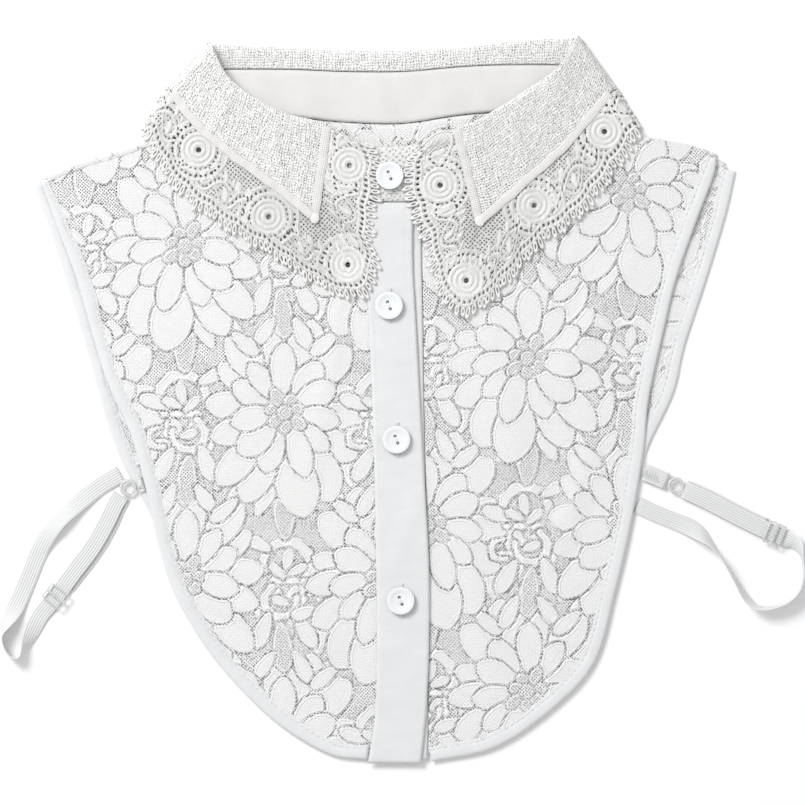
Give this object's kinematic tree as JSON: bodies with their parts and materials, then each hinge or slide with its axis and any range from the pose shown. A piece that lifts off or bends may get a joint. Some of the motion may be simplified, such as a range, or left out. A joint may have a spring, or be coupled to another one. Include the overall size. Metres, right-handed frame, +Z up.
{
  "type": "detachable lace collar",
  "caption": "Detachable lace shirt front with a lace-edged shirt collar, a buttoned placket and elastic side straps, laid flat.",
  "frame": {"origin": "middle of the outline seen from above, on the surface that the garment lies on", "axes": "+X across the garment, to the right for someone looking down on its front; +Y from the hem to the collar; +Z up, out of its front"},
  "size_m": [0.3858, 0.3488, 0.0108],
  "materials": {
    "floral_lace": "white all-over floral lace on a fine net, with raised flower outlines",
    "bias_cotton": "white bias-cut cotton, folded and stitched",
    "cotton": "crisp white plain-woven cotton with stitched edges",
    "gauze": "crinkled open cotton gauze",
    "guipure": "off-white guipure lace with corded rosettes and picots",
    "elastic": "white ribbed elastic webbing with a slight sheen",
    "clear_plastic": "milky clear moulded plastic",
    "button": "glossy cool-white moulded plastic"
  },
  "bodies": {
    "root": {"back_panel": "floral_lace", "front_panel_left": "floral_lace", "front_panel_right": "floral_lace", "shoulder_seam_left": "floral_lace", "shoulder_seam_right": "floral_lace", "back_binding": "bias_cotton", "front_binding_left": "bias_cotton", "front_binding_right": "bias_cotton", "button_placket": "cotton", "under_placket": "cotton", "collar_stand": "cotton", "collar_fall": "gauze", "lace_edging": "guipure", "collar_tape_left": "cotton", "collar_tape_right": "cotton", "strap_left": "elastic", "strap_left_return": "elastic", "strap_right": "elastic", "strap_right_return": "elastic", "strap_tab_left": "elastic", "strap_tab_right": "elastic", "strap_ring_left": "clear_plastic", "strap_ring_right": "clear_plastic", "strap_slider_left": "clear_plastic", "strap_slider_right": "clear_plastic", "button_1": "button", "button_2": "button", "button_3": "button", "button_4": "button"}
  },
  "joints": []
}
